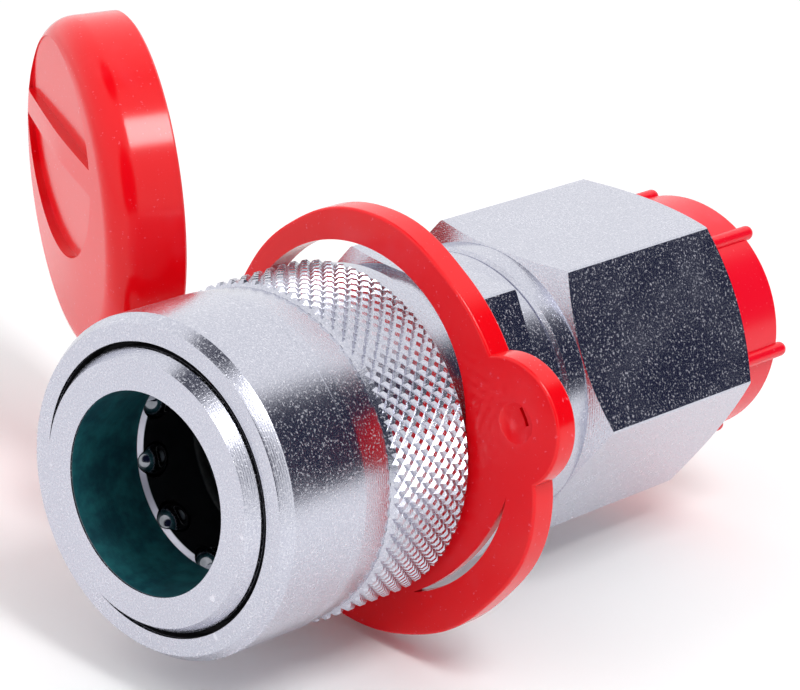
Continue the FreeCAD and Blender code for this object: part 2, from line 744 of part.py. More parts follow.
def strap_landing(leaving):
    """Where the strap's run back enters the cap's wall, near the rim."""
    middle = cap_placement().multVec(FreeCAD.Vector(0, number("strap_thickness"), 0))
    radius = number("cap_radius - cap_wall / 2")
    drop = number("strap_height") - middle.z
    across = math.sqrt(radius ** 2 - drop ** 2)
    toward = cap_placement().Rotation.multVec(-ACROSS)
    return FreeCAD.Vector(middle.x, middle.y, leaving.z) + toward * across


def cap_placement():
    """The rim's centre, with the moulding's own axis pointing out of its closed face."""
    return FreeCAD.Placement(
        FreeCAD.Vector(number("cap_across"), number("cap_along"), number("cap_up")),
        FreeCAD.Rotation(number("cap_azimuth") - 90, 0, number("cap_elevation")))


def in_cap(item, start, up=0):
    """Stands a primitive on or beside the cap's own axis, at a distance from the rim."""
    facing = FreeCAD.Placement(FreeCAD.Vector(0, start, up), FreeCAD.Rotation(ACROSS, -90))
    item.Placement = cap_placement().multiply(facing)
    return item


def cap_disc(name, start, radius, length):
    """A round cutter on the middle of the finger scoops."""
    disc = in_cap(doc.addObject("Part::Cylinder", name), number(start), number("scoop_up"))
    disc.setExpression("Radius", formula(radius))
    disc.setExpression("Height", formula(length))
    return disc


def grip_bar():
    """The bar left standing across the scoops, turned a little in the cap's face."""
    bar = doc.addObject("Part::Box", "grip_bar")
    bar.setExpression("Length", formula("2 * cap_radius"))
    bar.setExpression("Width", formula("cap_depth"))
    bar.setExpression("Height", formula("grip_bar_width"))
    turn = FreeCAD.Placement(FreeCAD.Vector(0, 0, number("scoop_up")),
                             FreeCAD.Rotation(ALONG, number("scoop_turn")))
    shift = FreeCAD.Vector(-number("cap_radius"), number("cap_depth") / 2,
                           -number("grip_bar_width") / 2)
    side = FreeCAD.Placement(shift, FreeCAD.Rotation())
    bar.Placement = cap_placement().multiply(turn).multiply(side)
    return bar


def crowned(name, radius, length, crown):
    """A round slab whose far face is a shallow dome."""
    slab = in_cap(doc.addObject("Part::Cylinder", name + "_round"), 0)
    slab.setExpression("Radius", formula(radius))
    slab.setExpression("Height", formula(length))
    ball = doc.addObject("Part::Sphere", name + "_dome")
    dome = f"(({radius}) ^ 2 / {crown} + {crown}) / 2"
    ball.setExpression("Radius", formula(dome))
    in_cap(ball, number(length) - number(dome))
    item = doc.addObject("Part::Common", name)
    item.Base = slab
    item.Tool = ball
    return item


def is_far_rim(edge):
    """The circle between the side wall and the dome."""
    if edge.Degenerated or not isinstance(edge.Curve, Part.Circle):
        return False
    place = cap_placement().inverse().multVec(edge.Curve.Center)
    return place.y > number("cap_depth") / 2


cap_outside = rounded("cap_outside", crowned("cap_slab", "cap_radius", "cap_depth", "cap_crown"),
                      is_far_rim, "cap_shoulder")
cap_inside = rounded("cap_inside", crowned("cap_core", "cap_radius - cap_wall",
                                           "cap_depth - cap_floor", "cap_crown"),
                     is_far_rim, "cap_shoulder - cap_wall")
cap_boss = cap_disc("cap_boss", "cap_depth - scoop_depth - cap_floor",
                    "scoop_radius + cap_wall", "cap_depth")
cap_hollow = cut("cap_hollow", cap_inside, cap_boss)
scoop_disc = cap_disc("scoop_disc", "cap_depth - scoop_depth", "scoop_radius", "cap_depth")
finger_scoops = cut("finger_scoops", scoop_disc, grip_bar())
strap = doc.addObject("Part::Feature", "strap")
strap.Shape = strap_shape()
ring_solid = ring_slab
for hollow in (ring_hole, bead_inside, ring_slot):
    ring_solid = cut(hollow.Name + "_cut", ring_solid, hollow)
lobe_dimple = doc.addObject("Part::Sphere", "lobe_dimple")
dimple_ball = "(dimple_radius ^ 2 / dimple_depth + dimple_depth) / 2"
lobe_dimple.setExpression("Radius", formula(dimple_ball))
lobe_dimple.setExpression("Placement.Base.x", formula("lobe_across"))
lobe_dimple.setExpression("Placement.Base.y",
                          formula(f"ring_front + dimple_depth - {dimple_ball}"))
lobe_dimple.setExpression("Placement.Base.z", formula("lobe_up"))
dust_cap = joined("cap_moulding", [ring_solid, ring_lobe, strap, cap_outside])
for name, hollow in (("moulding_hollowed", cap_hollow), ("moulding_scooped", finger_scoops),
                     ("dust_cap", lobe_dimple)):
    dust_cap = cut(name, dust_cap, hollow)

NODES = [
    socket_body, sleeve, sleeve_spring, coupler_body, port_adapter, poppet, poppet_seal,
    valve_guide, poppet_spring, interface_o_ring, interface_backup_ring, body_o_ring,
    adapter_o_ring, port_plug, dust_cap,
] + locking_balls

doc.recompute()
for item in doc.Objects:
    if "Invalid" in item.State or "Error" in item.State:
        raise RuntimeError(f"{item.Name} is {item.State}")

os.makedirs("parts", exist_ok=True)
for node in NODES:
    node.Label = node.Name
    if node.Shape.isNull() or not node.Shape.isValid():
        raise RuntimeError(f"{node.Name} has no valid shape")
    node.Shape.exportStep(f"parts/{node.Label}.step")
    print(node.Label, len(node.Shape.Solids), round(node.Shape.Volume), "mm3")
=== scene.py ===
import math
import bpy
from mathutils import Matrix, Vector


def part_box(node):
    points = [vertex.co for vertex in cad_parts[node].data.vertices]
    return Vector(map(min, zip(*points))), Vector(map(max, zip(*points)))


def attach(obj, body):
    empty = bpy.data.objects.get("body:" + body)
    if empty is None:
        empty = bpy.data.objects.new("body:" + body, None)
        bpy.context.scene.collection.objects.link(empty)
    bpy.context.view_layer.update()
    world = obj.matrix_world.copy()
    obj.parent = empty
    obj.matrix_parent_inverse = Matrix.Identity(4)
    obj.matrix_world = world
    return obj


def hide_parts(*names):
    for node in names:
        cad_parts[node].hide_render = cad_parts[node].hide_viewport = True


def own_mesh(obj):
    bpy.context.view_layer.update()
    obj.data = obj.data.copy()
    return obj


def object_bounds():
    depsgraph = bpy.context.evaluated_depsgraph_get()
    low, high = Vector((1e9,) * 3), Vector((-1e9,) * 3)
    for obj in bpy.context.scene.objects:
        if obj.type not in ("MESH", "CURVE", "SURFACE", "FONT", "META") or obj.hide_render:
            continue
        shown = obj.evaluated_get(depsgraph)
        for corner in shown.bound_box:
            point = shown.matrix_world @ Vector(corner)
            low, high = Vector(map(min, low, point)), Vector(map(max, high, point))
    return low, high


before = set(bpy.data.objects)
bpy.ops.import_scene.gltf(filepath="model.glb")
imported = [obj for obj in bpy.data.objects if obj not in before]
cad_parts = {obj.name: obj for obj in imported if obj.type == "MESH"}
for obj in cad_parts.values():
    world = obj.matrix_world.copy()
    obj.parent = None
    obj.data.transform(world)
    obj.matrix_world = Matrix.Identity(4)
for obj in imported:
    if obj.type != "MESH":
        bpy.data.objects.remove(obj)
CAD_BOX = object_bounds()

# %% [markdown]
# A hydraulic quick coupler, socket half: plated steel pieces turned about one axis,
# a knurled locking sleeve, ten balls in the mouth, a red plug behind and a red dust
# cap whose ring lies round the sleeve. The CAD frame gives every piece at its real
# size. The axis runs from the mouth towards +Y, and +Z is up. Lengths below are
# written in millimetres and made metres by one factor, as a workshop drawing is read.

# %% Units and small helpers
MM = 0.001
AXIS_TURN = (math.radians(90), 0, 0)


def start_fresh():
    """Leaves edit mode and drops every selection, so that an operator acts on one piece."""
    if bpy.context.object and bpy.context.object.mode == "EDIT":
        bpy.ops.object.mode_set(mode="OBJECT")
    bpy.ops.object.select_all(action="DESELECT")


def pick(piece):
    start_fresh()
    piece.select_set(True)
    bpy.context.view_layer.objects.active = piece


def edit(piece):
    pick(piece)
    bpy.ops.object.mode_set(mode="EDIT")
    bpy.ops.mesh.select_all(action="SELECT")


def leave_edit(merge=0.0):
    """Merges corners closer than so many millimetres, turns faces outwards, and leaves."""
    if merge:
        bpy.ops.mesh.remove_doubles(threshold=merge * MM)
    bpy.ops.mesh.normals_make_consistent(inside=False)
    bpy.ops.object.mode_set(mode="OBJECT")


def pick_open_edges():
    bpy.ops.mesh.select_all(action="DESELECT")
    bpy.ops.mesh.select_mode(type="EDGE")
    bpy.ops.mesh.select_non_manifold()


def bring_in(piece):
    """Brings a piece's place, turn and scale into its mesh."""
    pick(piece)
    bpy.ops.object.transform_apply(location=True, rotation=True, scale=True)


def settle(name):
    """Names the new piece and brings its place into its mesh."""
    piece = bpy.context.object
    piece.name = piece.data.name = name
    bring_in(piece)
    return piece


def finish_with(piece, kind, **settings):
    """Adds a modifier to a piece and applies it."""
    pick(piece)
    modifier = piece.modifiers.new(kind.lower(), kind)
    for key, value in settings.items():
        setattr(modifier, key, value)
    bpy.ops.object.modifier_apply(modifier=modifier.name)


def combine(piece, tool, operation):
    finish_with(piece, "BOOLEAN", operation=operation, solver="EXACT", object=tool)
    bpy.data.objects.remove(tool)


def cut_away(piece, tool):
    combine(piece, tool, "DIFFERENCE")


def join_into(piece, *others):
    """Makes one object of several, under the first one's name."""
    pick(piece)
    for other in others:
        other.select_set(True)
    bpy.ops.object.join()


def shade(piece, degrees):
    """Smooths all but sharp edges, and keeps large faces flat beside small ones."""
    pick(piece)
    bpy.ops.object.shade_smooth_by_angle(angle=math.radians(degrees))
    finish_with(piece, "WEIGHTED_NORMAL", keep_sharp=True, weight=100)


# %% [markdown]
# The sleeve is turned from bar, so its section is one closed outline. A circle is
# added at the first corner, then extruded and resized from corner to corner along the
# outline, and the last loop is bridged to the first. A spin would do as well, but this
# way each step can be read off as a distance along the axis and a radius.

# %% A turned ring from its outline
ROUND_STEPS = 192
TINY_GAP = 0.001


def turned(name, outline):
    """Closes (along, radius) corners, in millimetres, into a ring about the axis."""
    start_fresh()
    along, radius = outline[0]
    bpy.ops.mesh.primitive_circle_add(vertices=ROUND_STEPS, radius=radius * MM,
                                      location=(0, along * MM, 0), rotation=AXIS_TURN)
    piece = settle(name)
    edit(piece)
    for (was_along, was_radius), (along, radius) in zip(outline, outline[1:]):
        bpy.ops.mesh.extrude_edges_move()
        bpy.ops.transform.translate(value=(0, (along - was_along) * MM, 0))
        share = radius / was_radius
        bpy.ops.transform.resize(value=(share, 1, share), center_override=(0, along * MM, 0))
    pick_open_edges()
    bpy.ops.mesh.bridge_edge_loops()
    bpy.ops.mesh.select_all(action="SELECT")
    leave_edit(merge=TINY_GAP)
    return piece


# %% The sleeve's turned body
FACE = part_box("sleeve")[0].y / MM
FRONT_BORE, FRONT_BORE_END = 20.0, 4.8
LAND_RADIUS = 17.9
GROOVE_RADIUS, GROOVE_START = 19.43, 7.1
CONE_START, CONE_END = 9.7, 15.2
SPRING_BORE, SPRING_SEAT = 20.1, 22.0
CHAMFER_RADIUS = 22.5
CHAMFER_LENGTH = 1.8
BAND_RADIUS = 23.5
TAPER_START = 16.7
LINE_PLACE = 15.3
LINE_WIDTH = 0.16
LINE_DEPTH = 0.07
KNURL_START = 22.4
KNURL_FOOT_RADIUS = 22.95
KNURL_END = 36.95
KNURL_RADIUS = 23.75
KNURL_DEPTH = 0.5
KNURL_SINK = 0.12
KNURL_CHAMFER = KNURL_RADIUS - KNURL_FOOT_RADIUS
REAR_BAND_RADIUS = 22.4
SLEEVE_END = 42.0
under_knurl = KNURL_RADIUS - KNURL_DEPTH - KNURL_SINK
sleeve = turned("sleeve_shell", [
    (FACE, FRONT_BORE),
    (FACE, CHAMFER_RADIUS - 0.12), (FACE + 0.1, CHAMFER_RADIUS),
    (FACE + CHAMFER_LENGTH - 0.18, BAND_RADIUS - 0.05), (FACE + CHAMFER_LENGTH, BAND_RADIUS),
    (LINE_PLACE, BAND_RADIUS),
    (LINE_PLACE + LINE_WIDTH / 2, BAND_RADIUS - LINE_DEPTH),
    (LINE_PLACE + LINE_WIDTH, BAND_RADIUS),
    (TAPER_START, BAND_RADIUS), (TAPER_START + 0.5, BAND_RADIUS - 0.02),
    (KNURL_START - 0.12, KNURL_FOOT_RADIUS + 0.03),
    (KNURL_START, KNURL_FOOT_RADIUS - 0.1),
    (KNURL_START + 0.3, under_knurl - 0.3), (KNURL_START + 0.8, under_knurl),
    (KNURL_END - 0.3, under_knurl), (KNURL_END + 0.45, REAR_BAND_RADIUS),
    (SLEEVE_END - 0.4, REAR_BAND_RADIUS), (SLEEVE_END, REAR_BAND_RADIUS - 0.4),
    (SLEEVE_END, SPRING_BORE),
    (SPRING_SEAT, SPRING_BORE), (SPRING_SEAT, LAND_RADIUS),
    (CONE_END, LAND_RADIUS), (CONE_START, GROOVE_RADIUS),
    (GROOVE_START, GROOVE_RADIUS), (GROOVE_START, LAND_RADIUS),
    (FRONT_BORE_END, LAND_RADIUS), (FRONT_BORE_END, FRONT_BORE),
])
print("sleeve_shell", len(sleeve.data.polygons), "faces")

# %% [markdown]
# The knurl is rolled into the steel by two wheels, which leaves rows of diamonds. One
# diamond is modelled flat: a circle of four corners, extruded up and narrowed. Arrays
# repeat it along and across a flat sheet, bisects with slanted planes turn the two
# chamfers, and the Simple Deform modifier rolls the sheet into a ring. This gives true
# diamonds with few faces, where a bump map would leave the outline round and plain.

# %% The knurled band
DIAMONDS_ROUND = 66
DIAMOND_LENGTH = 2.39
DIAMOND_PLACE = 23.4
DIAMOND_ANGLE = 21.3
TOP_SHARE = 0.42
ROWS = 8
FOOT_SLACK = 0.01
KNURL_MERGE = 0.02
foot_radius = KNURL_RADIUS - KNURL_DEPTH
pitch = 2 * math.pi * foot_radius / DIAMONDS_ROUND
first_turn = (90 - DIAMOND_ANGLE) / 360 * DIAMONDS_ROUND % 1


def knurl_sheet():
    start_fresh()
    bpy.ops.mesh.primitive_circle_add(vertices=4, radius=1, fill_type="NGON",
                                      rotation=AXIS_TURN)
    sheet = bpy.context.object
    sheet.scale = (pitch / 2 * MM, DIAMOND_LENGTH / 2 * MM, 1)
    sheet.location = (first_turn * pitch * MM, 0, (DIAMOND_PLACE - DIAMOND_LENGTH) * MM)
    sheet = settle("knurl")
    edit(sheet)
    bpy.ops.mesh.extrude_region_move()
    bpy.ops.transform.translate(value=(0, -KNURL_DEPTH * MM, 0))
    bpy.ops.transform.resize(value=(TOP_SHARE, 1, TOP_SHARE), center_override=(
        first_turn * pitch * MM, 0, (DIAMOND_PLACE - DIAMOND_LENGTH) * MM))
    bpy.ops.object.mode_set(mode="OBJECT")
    drop_foot(sheet)
    steps = [(DIAMONDS_ROUND, (pitch, 0, 0)), (2, (pitch / 2, 0, DIAMOND_LENGTH / 2)),
             (ROWS, (0, 0, DIAMOND_LENGTH))]
    for count, step in steps:
        finish_with(sheet, "ARRAY", count=count, use_relative_offset=False,
                    use_constant_offset=True,
                    constant_offset_displace=[part * MM for part in step])
    return sheet


def drop_foot(sheet):
    """Deletes the diamond's hidden underside."""
    edit(sheet)
    bpy.ops.mesh.select_all(action="DESELECT")
    bpy.ops.object.mode_set(mode="OBJECT")
    for face in sheet.data.polygons:
        face.select = all(abs(sheet.data.vertices[i].co.y) < FOOT_SLACK * MM
                          for i in face.vertices)
    bpy.ops.object.mode_set(mode="EDIT")
    bpy.ops.mesh.select_mode(type="FACE")
    bpy.ops.mesh.delete(type="FACE")
    bpy.ops.object.mode_set(mode="OBJECT")


def turn_end(sheet, end, facing):
    """Cuts the sheet's end with the chamfer's slant, and runs the cut on down the slant."""
    edit(sheet)
    bpy.ops.mesh.bisect(plane_co=(0, -(KNURL_RADIUS - foot_radius) * MM, end * MM),
                        plane_no=(0, -1, facing), clear_outer=True)
    bpy.ops.mesh.extrude_edges_move()
    slide = KNURL_CHAMFER * MM
    bpy.ops.transform.translate(value=(0, slide, facing * slide))
    bpy.ops.object.mode_set(mode="OBJECT")


knurl = knurl_sheet()
turn_end(knurl, KNURL_START + KNURL_CHAMFER, -1)
turn_end(knurl, KNURL_END, 1)
width = knurl.dimensions.x / MM
finish_with(knurl, "SIMPLE_DEFORM", deform_method="BEND", deform_axis="Z",
            angle=2 * math.pi * width / (DIAMONDS_ROUND * pitch))
knurl.location = (0, 0, foot_radius * MM)
knurl.rotation_euler = (math.radians(-90), 0, 0)
bring_in(knurl)
edit(knurl)
leave_edit(merge=KNURL_MERGE)
print("knurl", len(knurl.data.polygons), "faces", [round(v / MM, 2) for v in knurl.dimensions])

# %% One sleeve
join_into(sleeve, knurl)
shade(sleeve, 25)
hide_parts("sleeve")
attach(sleeve, "sleeve")
print("sleeve_shell with its knurl", len(sleeve.data.polygons), "faces")

# %% [markdown]
# The dust cap is one soft moulding. Its ring is pulled out of round by the strap, so a
# circle curve is divided into twelve points, one for each hour of a clock face seen
# from the mouth, and each point is given its own reach from the axis. A curve keeps
# the outline smooth between the hours, and its extrude and bevel give the thickness
# and the soft edges in one step. Booleans then cut the hole and the crescent.

# %% The ring of the dust cap
RING_FRONT = 38.2
RING_THICKNESS = 4.2
RING_EDGE = 0.45
RING_WEB = 1.6
BEAD_WIDTH = 4.6
BEAD_EDGE = 0.4
RING_MERGE = 0.005
HOUR_REACHES = {12: 31.6, 1: 30.95, 2: 30.7, 3: 34.5, 4: 32.6, 5: 29.85,
                6: 26.9, 7: 25.9, 8: 25.6, 9: 25.4, 10: 25.6, 11: 28.8}


def clock_slab(name, inset, front, thickness, edge):
    """An upright slab whose outline passes the hours' reaches, drawn in by an inset."""
    start_fresh()
    bpy.ops.curve.primitive_bezier_circle_add(radius=1)
    bpy.ops.object.mode_set(mode="EDIT")
    bpy.ops.curve.select_all(action="SELECT")
    bpy.ops.curve.subdivide(number_cuts=2)
    bpy.ops.object.mode_set(mode="OBJECT")
    slab = bpy.context.object
    for place, point in enumerate(slab.data.splines[0].bezier_points):
        hour = (9 + place - 1) % 12 + 1
        angle = math.radians(90 - 30 * hour)
        reach = (HOUR_REACHES[hour] - inset) * MM
        point.co = (reach * math.cos(angle), reach * math.sin(angle), 0)
        point.handle_left_type = point.handle_right_type = "AUTO"
    slab.data.dimensions = "2D"
    slab.data.fill_mode = "BOTH"
    slab.data.resolution_u = 14
    slab.data.extrude = (thickness / 2 - edge) * MM
    slab.data.bevel_depth = edge * MM
    slab.data.bevel_resolution = 5
    slab.data.offset = -edge * MM
    slab.rotation_euler = AXIS_TURN
    slab.location = (0, (front + thickness / 2) * MM, 0)
    pick(slab)
    bpy.ops.object.convert(target="MESH")
    settle(name)
    edit(slab)
    leave_edit(merge=RING_MERGE)
    return slab


def disc(name, start, end, across=0.0, up=0.0, radius=1.0):
    """A round bar along the axis, for cutting or joining."""
    start_fresh()
    bpy.ops.mesh.primitive_cylinder_add(
        vertices=128, radius=radius * MM, depth=(end - start) * MM, rotation=AXIS_TURN,
        location=(across * MM, (start + end) / 2 * MM, up * MM))
    return settle(name)


RING_BACK = RING_FRONT + RING_THICKNESS
cap = clock_slab("dust_cap_moulding", 0, RING_FRONT, RING_THICKNESS, RING_EDGE)
cut_away(cap, clock_slab("bead_inside", BEAD_WIDTH, RING_FRONT + RING_WEB, RING_THICKNESS,
                         BEAD_EDGE))
print("ring", [round(v / MM, 2) for v in cap.dimensions], len(cap.data.polygons), "faces")

# %% [markdown]
# The sleeve's rear band fills most of the ring's hole. The photograph shows the soft
# ring stretched away from the sleeve at the top, so the hole is cut by two overlapping
# discs. The lobe is a disc with a rounded edge, joined on before the hole is cut, and
# the crescent is what is left of one disc after a larger one is taken from it.

# %% Lobe, hole and crescent
LOBE = {"across": 27.6, "up": 10.7, "radius": 9.25}
LOBE_THICKNESS = 3.8
lobe = disc("lobe", RING_FRONT, RING_FRONT + LOBE_THICKNESS, **LOBE)
finish_with(lobe, "BEVEL", width=RING_EDGE * MM, segments=3, limit_method="ANGLE",
            angle_limit=math.radians(60))
combine(cap, lobe, "UNION")
BEFORE, BEHIND = RING_FRONT - 2, RING_BACK + 2
HOLE = {"radius": 22.75}
STRETCHED_HOLE = {"across": 0.67, "up": 6.08, "radius": 20.7}
cut_away(cap, disc("hole", BEFORE, BEHIND, **HOLE))
cut_away(cap, disc("stretched_hole", BEFORE, BEHIND, **STRETCHED_HOLE))
CRESCENT = {"across": 7.2, "up": 1.8, "radius": 22.4}
INNER_RADIUS = 34.0
CRESCENT_WIDTH = 1.3
CRESCENT_FACING = math.radians(-35)
shift = CRESCENT["radius"] - CRESCENT_WIDTH - INNER_RADIUS
crescent = disc("crescent", BEFORE, BEHIND, **CRESCENT)
cut_away(crescent, disc("crescent_inside", BEFORE - 1, BEHIND + 1,
                        across=CRESCENT["across"] + shift * math.cos(CRESCENT_FACING),
                        up=CRESCENT["up"] + shift * math.sin(CRESCENT_FACING),
                        radius=INNER_RADIUS))
cut_away(cap, crescent)

DIMPLE_ACROSS, DIMPLE_UP = 29.5, 11.45
DIMPLE_RADIUS, DIMPLE_DEPTH = 2.9, 0.5
SLIT_ACROSS, SLIT_UP = 30.6, 12.75
SLIT_TURN = 58.4
SLIT_SIZE = (2.6, 3.0, 0.6)
start_fresh()
dimple_ball = (DIMPLE_RADIUS ** 2 / DIMPLE_DEPTH + DIMPLE_DEPTH) / 2
bpy.ops.mesh.primitive_uv_sphere_add(
    segments=96, ring_count=96, radius=dimple_ball * MM,
    location=(DIMPLE_ACROSS * MM, (RING_FRONT + DIMPLE_DEPTH - dimple_ball) * MM,
              DIMPLE_UP * MM))
cut_away(cap, settle("dimple"))
start_fresh()
bpy.ops.mesh.primitive_cube_add(size=1, rotation=(0, math.radians(SLIT_TURN), 0),
                                location=(SLIT_ACROSS * MM, RING_FRONT * MM, SLIT_UP * MM))
bpy.context.object.scale = [side * MM for side in SLIT_SIZE]
cut_away(cap, settle("slit"))
print("ring with lobe and crescent", len(cap.data.polygons), "faces")

# %% [markdown]
# The cap is a shallow cup. It is turned like the sleeve, with its two corner radii
# worked out as arcs, in a frame of its own where the rim is at zero and the closed face
# looks along the axis. Two shallow scoops for the fingers are cut on either side of a
# grip bar, and one matrix then puts the finished cup where the CAD cap stands.

# %% The cap's cup
CAP_RADIUS = 25.6
CAP_WALL = 1.4
CAP_DEPTH = 12.0
CAP_FLOOR = 2.8
CAP_CROWN = 1.0
CAP_SHOULDER = 4.5
RIM_EDGE = 0.3
POLE = 0.002


def arc(along, radius, size, start, end, steps=10):
    """Corners on an arc about a centre, by angles from the axis outwards in degrees."""
    angles = [math.radians(start + (end - start) * i / steps) for i in range(steps + 1)]
    return [(along + size * math.cos(a), radius + size * math.sin(a)) for a in angles]


shoulder_place = CAP_DEPTH - CAP_CROWN - CAP_SHOULDER
shoulder_radius = CAP_RADIUS - CAP_SHOULDER
cup = turned("cup", [(CAP_DEPTH, POLE)]
             + arc(shoulder_place, shoulder_radius, CAP_SHOULDER, 0, 90)
             + [(RIM_EDGE, CAP_RADIUS), (0, CAP_RADIUS - RIM_EDGE), (0, CAP_RADIUS - CAP_WALL)]
             + arc(shoulder_place, shoulder_radius, CAP_SHOULDER - CAP_WALL, 90, 0)
             + [(CAP_DEPTH - CAP_FLOOR, POLE)])
edit(cup)
bpy.ops.mesh.remove_doubles(threshold=2 * POLE * MM)
bpy.ops.mesh.delete_loose()
leave_edit()

SCOOP_ACROSS, SCOOP_UP = 3.0, 6.0
SCOOP_HALF_WIDTH = 18.2
SCOOP_HALF_HEIGHT = 16.2
SCOOP_DEPTH = 0.9
BAR_UP = 7.0
BAR_WIDTH = 3.9
scoop = disc("scoop", CAP_DEPTH - CAP_CROWN - SCOOP_DEPTH, CAP_DEPTH + 1)
scoop.scale = (SCOOP_HALF_WIDTH, 1, SCOOP_HALF_HEIGHT)
scoop.location = (SCOOP_ACROSS * MM, 0, SCOOP_UP * MM)
bring_in(scoop)
start_fresh()
bpy.ops.mesh.primitive_cube_add(size=1, location=(0, CAP_DEPTH * MM, BAR_UP * MM))
bpy.context.object.scale = (3 * CAP_RADIUS * MM, CAP_DEPTH * MM, BAR_WIDTH * MM)
cut_away(scoop, settle("bar"))
cut_away(cup, scoop)
CAP_PLACE = Vector((-57.5, 53.4, 14.5)) * MM
CAP_AZIMUTH, CAP_ELEVATION = -118.3, -6.8
cup.matrix_world = (Matrix.Translation(CAP_PLACE)
                    @ Matrix.Rotation(math.radians(CAP_AZIMUTH - 90), 4, "Z")
                    @ Matrix.Rotation(math.radians(CAP_ELEVATION), 4, "X"))
bring_in(cup)
print("cup", len(cup.data.polygons), "faces", [round(v / MM, 1) for v in cup.dimensions])

# %% [markdown]
# The strap is a flat ribbon that leaves the ring beside the sleeve, runs forwards,
# doubles back and ends in the cap's wall. A flat curve drawn from above carries it: its
# extrude is the ribbon's width, and its bevel the thickness with the round edges.

# %% The strap
STRAP_LEVEL = -4.0
STRAP_WIDTH = 9.0
STRAP_THICKNESS = 2.4
STRAP_RUN = [(-24.2, 40.3), (-27.4, 38.4), (-28.6, 34.0), (-29.4, 30.2), (-33.7, 26.6),
             (-38.4, 30.4), (-40.6, 36.5), (-44.0, 43.8)]
start_fresh()
bpy.ops.curve.primitive_bezier_curve_add()
ribbon = bpy.context.object
line = ribbon.data.splines[0]
line.bezier_points.add(len(STRAP_RUN) - len(line.bezier_points))
for point, (across, along) in zip(line.bezier_points, STRAP_RUN):
    point.co = (across * MM, along * MM, 0)
    point.handle_left_type = point.handle_right_type = "AUTO"
ribbon.data.dimensions = "2D"
ribbon.data.resolution_u = 12
ribbon.data.extrude = (STRAP_WIDTH - STRAP_THICKNESS) / 2 * MM
ribbon.data.bevel_depth = STRAP_THICKNESS / 2 * MM
ribbon.data.bevel_resolution = 4
ribbon.data.use_fill_caps = True
ribbon.location.z = STRAP_LEVEL * MM
bpy.ops.object.convert(target="MESH")
strap = settle("strap")

join_into(cap, cup, strap)
shade(cap, 35)
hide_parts("dust_cap")
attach(cap, "dust_cap")
print("dust_cap_moulding", len(cap.data.polygons), "faces")

# %% [markdown]
# Two coil springs lie inside: one pushes the sleeve forwards, the other shuts the
# valve. A small circle is the wire's section, and the Screw modifier carries it round
# and along the axis.

# %% Springs
SLEEVE_TRAVEL = 4.3
VALVE_TRAVEL = 6.0
COIL_STEPS = 32


def coil(node, wire, turns, travel):
    """A coil in the place of a CAD spring, carried with the socket."""
    low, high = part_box(node)
    mean_radius = high.x - wire * MM / 2
    length = high.y - low.y
    start_fresh()
    bpy.ops.mesh.primitive_circle_add(vertices=14, radius=wire / 2 * MM,
                                      location=(mean_radius, low.y + wire / 2 * MM, 0))
    spring = settle(node + "_coil")
    finish_with(spring, "SCREW", axis="Y", angle=2 * math.pi * turns,
                screw_offset=length - wire * MM, steps=int(COIL_STEPS * turns),
                render_steps=int(COIL_STEPS * turns))
    edit(spring)
    pick_open_edges()
    bpy.ops.mesh.edge_face_add()
    bpy.ops.mesh.select_all(action="SELECT")
    leave_edit()
    shade(spring, 60)
    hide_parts(node)
    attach(spring, "socket")
    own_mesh(spring)
    print(spring.name, len(spring.data.polygons), "faces, closes by", travel, "mm")
    return spring


sleeve_coil = coil("sleeve_spring", 1.7, 5.0, SLEEVE_TRAVEL)
valve_coil = coil("poppet_spring", 1.2, 3.5, VALVE_TRAVEL)

# %% [markdown]
# Every finish below is painted by nodes. One small class wraps a socket of the node
# tree, so that a finish reads as arithmetic: a mask times a colour, one minus a mask.
# All of them read Object coordinates, so they stay with the piece when it moves.

# %% Arithmetic on sockets
class Amount:
    """A number that changes over the surface."""

    def __init__(self, nodes, socket):
        self.nodes = nodes
        self.socket = socket

    def worked(self, operation, first, second=0.0):
        return self.nodes.node("ShaderNodeMath", {"operation": operation},
                               {0: first, 1: second})

    def __add__(self, other):
        return self.worked("ADD", self, other)

    def __sub__(self, other):
        return self.worked("SUBTRACT", self, other)

    def __rsub__(self, other):
        return self.worked("SUBTRACT", other, self)

    def __mul__(self, other):
        return self.worked("MULTIPLY", self, other)

    def __pow__(self, other):
        return self.worked("POWER", self, other)

    __radd__ = __add__
    __rmul__ = __mul__

    def sine(self):
        return self.worked("SINE", self)

    def between(self, low, high):
        """Zero below the low value, one above the high value, and smooth between."""
        return self.nodes.node("ShaderNodeMapRange", {"interpolation_type": "SMOOTHSTEP"},
                               {0: self, 1: low, 2: high})


